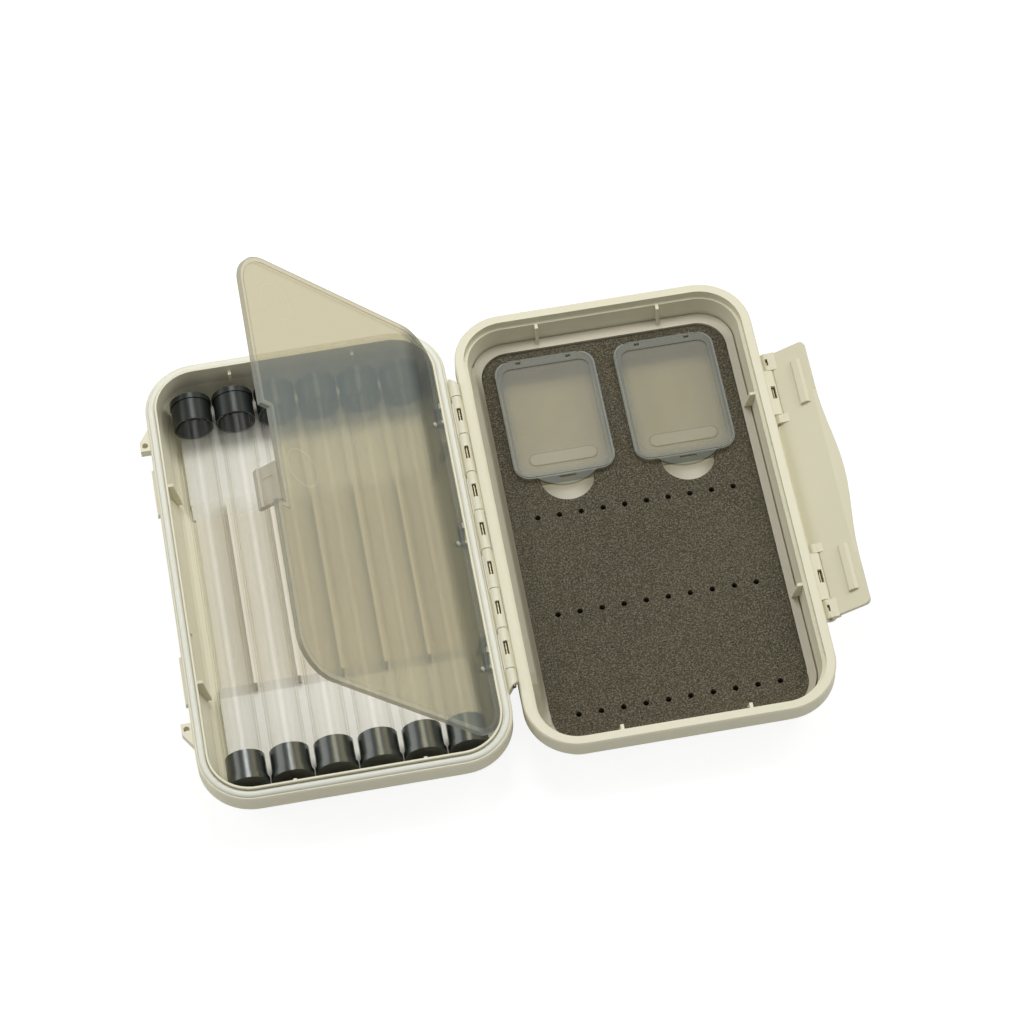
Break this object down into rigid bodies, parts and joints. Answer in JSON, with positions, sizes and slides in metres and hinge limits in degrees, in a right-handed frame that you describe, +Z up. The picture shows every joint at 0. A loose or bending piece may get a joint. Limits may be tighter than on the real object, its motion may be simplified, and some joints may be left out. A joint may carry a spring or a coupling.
{
  "type": "fly box",
  "caption": "Hard folding fly box with a seal, a swing leaf, capped clear tubes, a slotted foam pad, lidded compartments and a bar latch.",
  "frame": {"origin": "centre of the base half's underside, on the surface the open box lies on", "axes": "+X from the base half towards the lid half and its latch, +Y along the hinge towards the compartments, +Z up"},
  "size_m": [0.2123, 0.155, 0.085],
  "materials": {
    "case_cream": "satin",
    "pad_white": "matte",
    "seal_white": "matte",
    "pin_steel": "satin",
    "frosted": "matte",
    "clear": "gloss",
    "foam_grey": "matte",
    "cap_black": "satin"
  },
  "bodies": {
    "base": {"base_shell": "case_cream", "rim_seal": "seal_white", "hinge_pin": "pin_steel", "rest_pad_far": "pad_white", "rest_pad_near": "pad_white", "tube_divider": "case_cream", "leaf_pins": "clear"},
    "leaf": {"leaf_panel": "frosted", "leaf_clip": "frosted"},
    "lid": {"lid_shell": "case_cream", "foam_tray": "case_cream", "foam_pad": "foam_grey", "compartment_box_left": "clear", "compartment_box_right": "clear", "latch_pin_far": "pin_steel", "latch_pin_near": "pin_steel"},
    "latch": {"latch_plate": "case_cream"},
    "left_compartment_lid": {"compartment_lid_left": "frosted"},
    "right_compartment_lid": {"compartment_lid_right": "frosted"},
    "capped_tube_1": {"tube_1": "clear", "stopper_1": "cap_black", "cap_1": "cap_black"},
    "capped_tube_2": {"tube_2": "clear", "stopper_2": "cap_black", "cap_2": "cap_black"},
    "capped_tube_3": {"tube_3": "clear", "stopper_3": "cap_black", "cap_3": "cap_black"},
    "capped_tube_4": {"tube_4": "clear", "stopper_4": "cap_black", "cap_4": "cap_black"},
    "capped_tube_5": {"tube_5": "clear", "stopper_5": "cap_black", "cap_5": "cap_black"},
    "capped_tube_6": {"tube_6": "clear", "stopper_6": "cap_black", "cap_6": "cap_black"}
  },
  "joints": [
    {"name": "lid_hinge", "type": "hinge", "parent": "base", "child": "lid", "pos_m": [0.04905, 0, 0.0195], "axis": [0, 1, 0], "range_deg": [-180, 0]},
    {"name": "leaf_hinge", "type": "hinge", "parent": "base", "child": "leaf", "pos_m": [0.04255, 0, 0.0185], "axis": [0, 1, 0], "range_deg": [-49.6, 0]},
    {"name": "latch_hinge", "type": "hinge", "parent": "lid", "child": "latch", "pos_m": [0.14725, 0, 0.0159], "axis": [0, 1, 0], "range_deg": [-63, 0]},
    {"name": "left_compartment_hinge", "type": "hinge", "parent": "lid", "child": "left_compartment_lid", "pos_m": [0.079, 0.06425, 0.01075], "axis": [-1, 0, 0], "range_deg": [0, 105]},
    {"name": "right_compartment_hinge", "type": "hinge", "parent": "lid", "child": "right_compartment_lid", "pos_m": [0.1172, 0.06425, 0.01075], "axis": [-1, 0, 0], "range_deg": [0, 105]},
    {"name": "tube_1_lift", "type": "slide", "parent": "base", "child": "capped_tube_1", "axis": [0, 0, 1], "range_m": [0, 0.04]},
    {"name": "tube_2_lift", "type": "slide", "parent": "base", "child": "capped_tube_2", "axis": [0, 0, 1], "range_m": [0, 0.04]},
    {"name": "tube_3_lift", "type": "slide", "parent": "base", "child": "capped_tube_3", "axis": [0, 0, 1], "range_m": [0, 0.04]},
    {"name": "tube_4_lift", "type": "slide", "parent": "base", "child": "capped_tube_4", "axis": [0, 0, 1], "range_m": [0, 0.038]},
    {"name": "tube_5_lift", "type": "slide", "parent": "base", "child": "capped_tube_5", "axis": [0, 0, 1], "range_m": [0, 0.023]},
    {"name": "tube_6_lift", "type": "slide", "parent": "base", "child": "capped_tube_6", "axis": [0, 0, 1], "range_m": [0, 0.0075]}
  ],
  "couplings": [
    {"joint": "leaf_hinge", "follows": "lid_hinge", "ratio": 0.27556}
  ]
}
